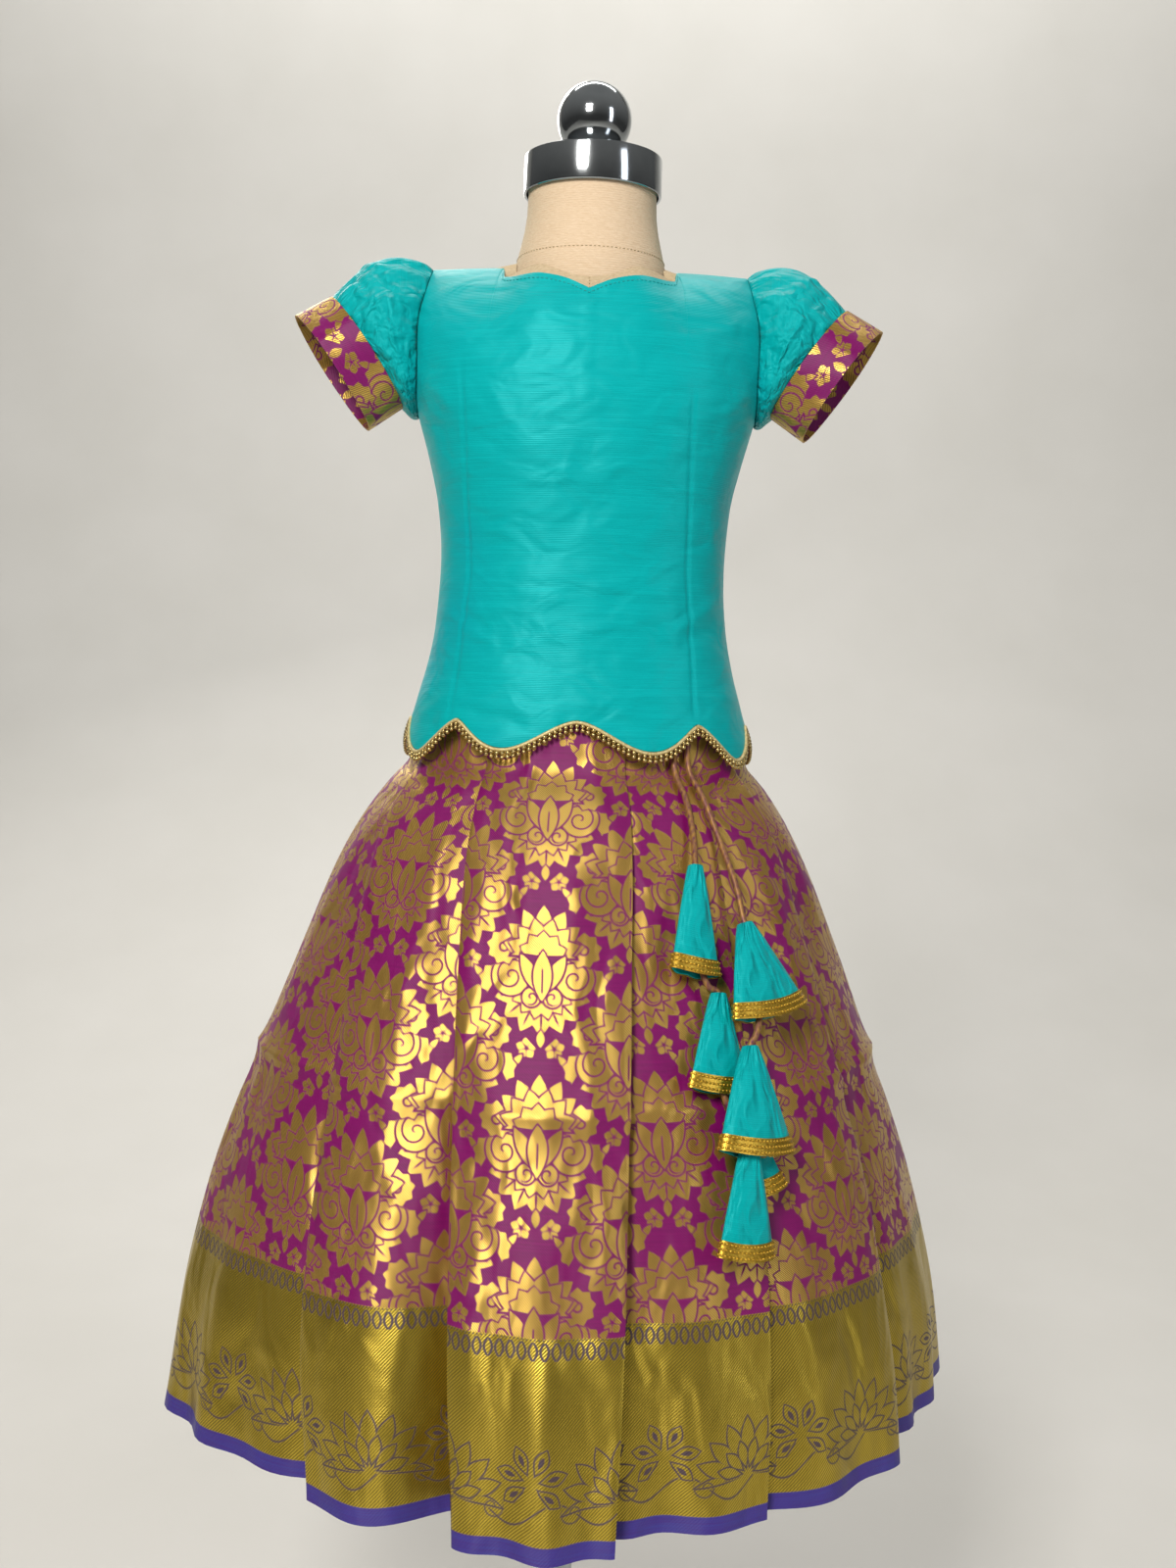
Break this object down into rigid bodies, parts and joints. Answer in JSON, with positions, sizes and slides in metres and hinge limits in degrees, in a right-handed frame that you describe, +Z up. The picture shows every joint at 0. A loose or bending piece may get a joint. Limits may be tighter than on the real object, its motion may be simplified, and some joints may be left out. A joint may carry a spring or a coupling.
{
  "type": "pattu pavadai set on a limbless child's dress form",
  "caption": "Child's pleated brocade skirt and puff-sleeved silk blouse, with cloth bells on cords, worn by a limbless dress form on a pole stand.",
  "frame": {"origin": "middle of the stand base's flat underside", "axes": "+Z up along the pole, -Y towards the garment's front, +X towards the wearer's left, where the cords hang"},
  "size_m": [0.5344, 0.5124, 1.227],
  "materials": {
    "blouse_silk": "plain woven shot silk, soft sheen",
    "bell_silk": "plain woven shot silk with a gold braid at the hem",
    "skirt_brocade": "purple silk brocade figured with gold zari, gold border",
    "gold_bead_trim": "cream-gold piping with strung metallised beads",
    "form_jersey": "beige jersey stretched over the form, matt",
    "collar_jersey": "pale ribbed jersey, matt",
    "chromed_steel": "polished chrome plate"
  },
  "bodies": {
    "root": {"form_torso": "form_jersey", "form_neck": "collar_jersey", "form_cap": "chromed_steel", "form_ball": "chromed_steel", "form_pole": "chromed_steel", "form_base": "chromed_steel", "blouse_front": "blouse_silk", "blouse_back_left": "blouse_silk", "blouse_back_right": "blouse_silk", "hem_trim": "gold_bead_trim", "sleeve_left": "blouse_silk", "cuff_left": "skirt_brocade", "sleeve_right": "blouse_silk", "cuff_right": "skirt_brocade", "skirt_front": "skirt_brocade", "skirt_back": "skirt_brocade", "bell_1": "bell_silk", "bell_2": "bell_silk", "bell_3": "bell_silk", "bell_4": "bell_silk", "bell_5": "bell_silk", "bell_6": "bell_silk", "dori_1": "skirt_brocade", "dori_2": "skirt_brocade"}
  },
  "joints": []
}
